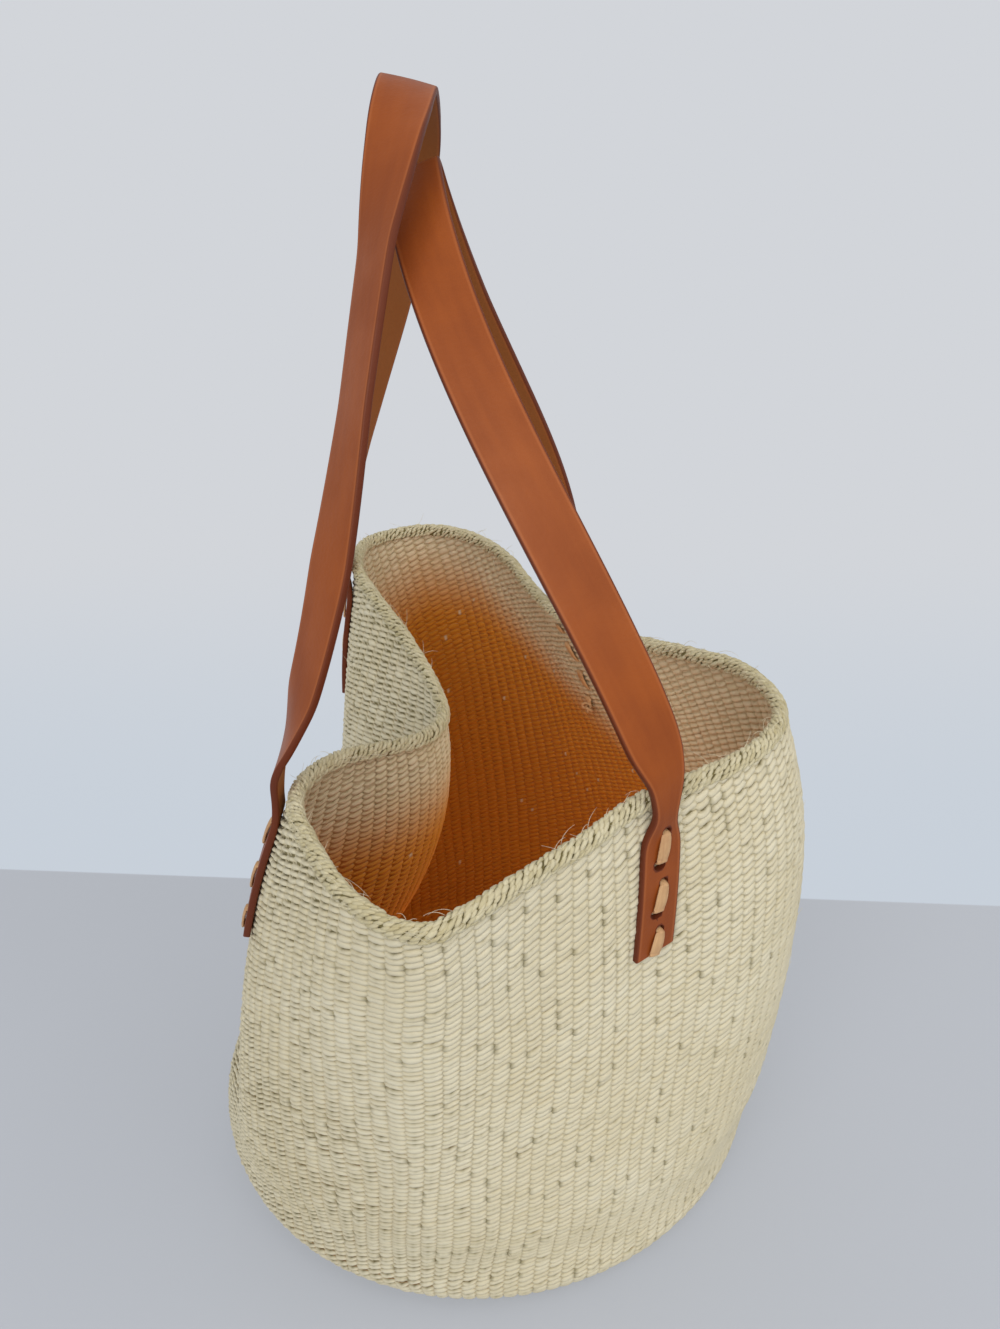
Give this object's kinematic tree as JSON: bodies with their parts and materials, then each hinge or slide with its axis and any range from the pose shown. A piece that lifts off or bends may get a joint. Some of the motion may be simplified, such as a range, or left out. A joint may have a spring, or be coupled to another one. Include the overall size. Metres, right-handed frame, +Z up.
{
  "type": "kiondo basket",
  "caption": "Twined sisal carrying basket with a round base, a soft mouth folded in at one side and two swinging leather handle straps laced to the wall",
  "frame": {"origin": "centre of the flat base, on the surface that the basket stands on", "axes": "+Z up. The two straps hang side by side along X, with the left strap at -X, and each strap's two ends lie one behind the other along Y, with the front ends at -Y"},
  "size_m": [0.2867, 0.3545, 0.4985],
  "materials": {
    "sisal": "natural cream sisal, twined in fine horizontal stitches over upright warps",
    "sisal_base": "natural sisal, twined in rounds from the centre",
    "sisal_border": "natural sisal warp ends, plaited into a thick border",
    "strap_leather": "oiled tan leather, smooth grain side with a soft sheen, darker cut edges",
    "lace_leather": "thin light tan leather thong, matt"
  },
  "bodies": {
    "basket": {"woven_base": "sisal_base", "woven_wall": "sisal", "rim_border": "sisal_border", "left_front_tab": "strap_leather", "left_rear_tab": "strap_leather", "right_front_tab": "strap_leather", "right_rear_tab": "strap_leather", "left_front_lace": "lace_leather", "left_rear_lace": "lace_leather", "right_front_lace": "lace_leather", "right_rear_lace": "lace_leather"},
    "left_handle": {"left_handle_strap": "strap_leather"},
    "right_handle": {"right_handle_strap": "strap_leather"}
  },
  "joints": [
    {"name": "left_handle_swing", "type": "hinge", "parent": "basket", "child": "left_handle", "pos_m": [-0.0611, -0.01169, 0.27849], "axis": [-0.0184, -0.9995, -0.0257], "range_deg": [0, 150]},
    {"name": "right_handle_swing", "type": "hinge", "parent": "basket", "child": "right_handle", "pos_m": [0.06205, -0.04745, 0.2776], "axis": [-0.1024, 0.9935, -0.0488], "range_deg": [0, 130]}
  ]
}
